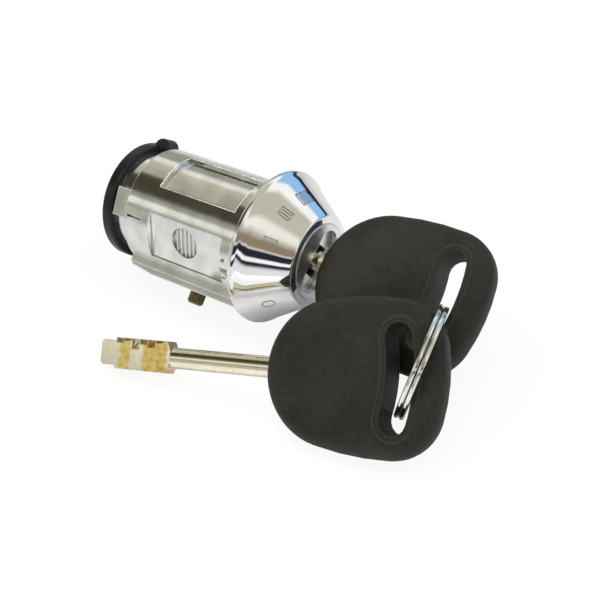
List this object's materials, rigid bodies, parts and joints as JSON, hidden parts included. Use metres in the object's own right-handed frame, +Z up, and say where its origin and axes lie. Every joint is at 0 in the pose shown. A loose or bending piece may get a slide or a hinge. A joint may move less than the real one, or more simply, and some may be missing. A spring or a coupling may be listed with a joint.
{
  "type": "ignition switch lock",
  "caption": "Round ignition lock barrel with conical chrome bezel, spring retaining pin and disc-tumbler plug, its key inserted and a spare key hung on a split ring.",
  "frame": {"origin": "on the lock axis, in the plane of the bezel's rim", "axes": "+X along the lock axis, out of the keyhole; +Z up as the lock lies in the picture"},
  "size_m": [0.0966, 0.0522, 0.033],
  "materials": {
    "plated_zinc": "die-cast zinc with a bright satin plating",
    "mirror_chrome": "mirror chrome plating",
    "black_plastic": "moulded black plastic",
    "pin_brass": "turned brass, dulled",
    "spring_steel": "drawn and stamped steel",
    "plug_zinc": "die-cast zinc, plain",
    "disc_brass": "stamped brass",
    "nickel_brass": "brass with a worn nickel plating",
    "bow_plastic": "finely grained black plastic",
    "ring_steel": "bright nickel-plated steel wire"
  },
  "bodies": {
    "barrel": {"housing": "plated_zinc", "bezel": "mirror_chrome", "collar": "black_plastic", "pin_spring": "spring_steel"},
    "pin": {"retaining_pin": "pin_brass"},
    "plug": {"plug": "plug_zinc", "plug_cap": "mirror_chrome", "disc_1": "disc_brass", "disc_2": "disc_brass", "disc_3": "disc_brass", "disc_4": "disc_brass", "disc_5": "disc_brass", "disc_6": "disc_brass", "spacer_washers": "spring_steel", "sidebar": "disc_brass", "sidebar_springs": "spring_steel", "driver": "plug_zinc", "thrust_washer": "spring_steel", "retaining_clip": "spring_steel"},
    "key": {"key_blade": "nickel_brass", "key_bow": "bow_plastic"},
    "ring": {"split_ring": "ring_steel"},
    "spare": {"spare_blade": "nickel_brass", "spare_bow": "bow_plastic"}
  },
  "joints": [
    {"name": "key_turn", "type": "hinge", "parent": "barrel", "child": "plug", "pos_m": [0, 0, 0], "axis": [-1, 0, 0], "range_deg": [0, 126]},
    {"name": "key_pull", "type": "slide", "parent": "plug", "child": "key", "axis": [1, 0, 0], "range_m": [0, 0.045]},
    {"name": "ring_swing", "type": "hinge", "parent": "key", "child": "ring", "pos_m": [0.04325, -0.01336, -0.00235], "axis": [0.9176, 0.2431, -0.3145], "range_deg": [-20, 18]},
    {"name": "spare_swing", "type": "hinge", "parent": "ring", "child": "spare", "pos_m": [0.04426, -0.02253, -0.00706], "axis": [-0.2567, 0.6476, 0.7174], "range_deg": [-3, 20]},
    {"name": "pin_press", "type": "slide", "parent": "barrel", "child": "pin", "axis": [0, 0.7431, 0.6691], "range_m": [0, 0.0026], "stiffness_N_per_m": 900, "springref_m": -0.0015, "deforming": ["pin_spring"]}
  ]
}
